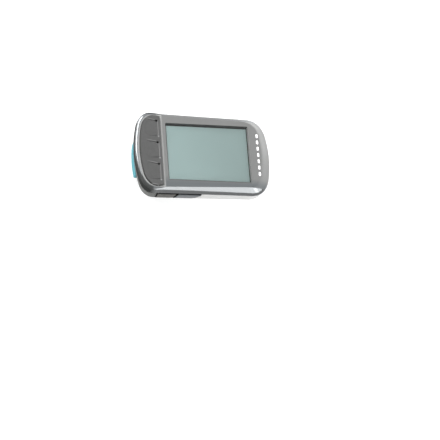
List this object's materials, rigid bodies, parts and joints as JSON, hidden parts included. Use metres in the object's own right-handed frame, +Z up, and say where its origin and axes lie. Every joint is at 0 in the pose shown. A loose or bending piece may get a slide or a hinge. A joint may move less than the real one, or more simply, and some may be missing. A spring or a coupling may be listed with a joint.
{
  "type": "cycling computer",
  "caption": "Handlebar cycling computer: rounded two-part casing, clear display window, raised keypad, side keys, row of lights and a twist-lock insert under it.",
  "frame": {"origin": "centre of the flat bottom face of the twist-lock mount insert, which the unit rests on", "axes": "+X from the rider's keypad towards the row of lights, +Y the rider's left, +Z up out of the display"},
  "size_m": [0.0746, 0.0475, 0.0221],
  "materials": {
    "shell": "painted moulded polycarbonate, satin on the face and glossy on the bevels",
    "base": "fine-textured moulded nylon",
    "keypad": "dark matte elastomer",
    "side_key": "matte moulded keys",
    "seal": "black silicone",
    "port_cover": "coloured silicone",
    "lens": "clear polished window",
    "screen": "reflective liquid crystal panel, switched off",
    "diffuser": "white diffusing plastic",
    "black_plastic": "black moulded plastic",
    "board": "green solder mask",
    "flex": "amber polyimide film",
    "steel": "plated steel",
    "cell": "laminated foil pouch",
    "ceramic": "fired ceramic"
  },
  "bodies": {
    "housing": {"backlight_unit": "diffuser", "barometer": "steel", "battery_cell": "cell", "battery_connector": "diffuser", "battery_flex": "flex", "battery_pad": "seal", "board_connector": "black_plastic", "buzzer": "black_plastic", "case_screw_1": "steel", "case_screw_2": "steel", "case_screw_3": "steel", "case_screw_4": "steel", "case_seal": "seal", "display_frame": "black_plastic", "display_lens": "lens", "front_switch_centre": "steel", "front_switch_left": "steel", "front_switch_right": "steel", "gps_antenna": "ceramic", "insert_screw_1": "steel", "insert_screw_2": "steel", "keypad_panel": "keypad", "lcd_flex_cable": "flex", "lcd_panel": "screen", "led_board": "board", "lens_gasket": "seal", "light_pipe": "diffuser", "lower_housing": "base", "main_board": "board", "mount_insert": "base", "power_key_seal": "seal", "power_switch": "steel", "processor_shield": "steel", "radio_shield": "steel", "upper_housing": "shell", "usb_board": "board", "usb_cover_anchor": "port_cover", "usb_gasket": "seal", "usb_socket": "steel", "vent_membrane": "diffuser", "zoom_down_switch": "steel", "zoom_key_seal": "seal", "zoom_up_switch": "steel"},
    "front_button_left": {"front_button_left": "keypad"},
    "front_button_centre": {"front_button_centre": "keypad"},
    "front_button_right": {"front_button_right": "keypad"},
    "zoom_up_button": {"zoom_up_button": "side_key"},
    "zoom_down_button": {"zoom_down_button": "side_key"},
    "power_button": {"power_button": "side_key"},
    "usb_cover": {"usb_cover": "port_cover"}
  },
  "joints": [
    {"name": "front_button_left_press", "type": "slide", "parent": "housing", "child": "front_button_left", "axis": [0, 0, -1], "range_m": [0, 0.0004], "stiffness_N_per_m": 300},
    {"name": "front_button_centre_press", "type": "slide", "parent": "housing", "child": "front_button_centre", "axis": [0, 0, -1], "range_m": [0, 0.0004], "stiffness_N_per_m": 300},
    {"name": "front_button_right_press", "type": "slide", "parent": "housing", "child": "front_button_right", "axis": [0, 0, -1], "range_m": [0, 0.0004], "stiffness_N_per_m": 300},
    {"name": "zoom_up_press", "type": "slide", "parent": "housing", "child": "zoom_up_button", "axis": [0, 1, 0], "range_m": [0, 0.0003], "stiffness_N_per_m": 400},
    {"name": "zoom_down_press", "type": "slide", "parent": "housing", "child": "zoom_down_button", "axis": [0, 1, 0], "range_m": [0, 0.0003], "stiffness_N_per_m": 400},
    {"name": "power_press", "type": "slide", "parent": "housing", "child": "power_button", "axis": [0, -1, 0], "range_m": [0, 0.0003], "stiffness_N_per_m": 400},
    {"name": "usb_cover_hinge", "type": "hinge", "parent": "housing", "child": "usb_cover", "pos_m": [-0.0355, 0, 0.007], "axis": [0, -1, 0], "range_deg": [0, 110]}
  ]
}
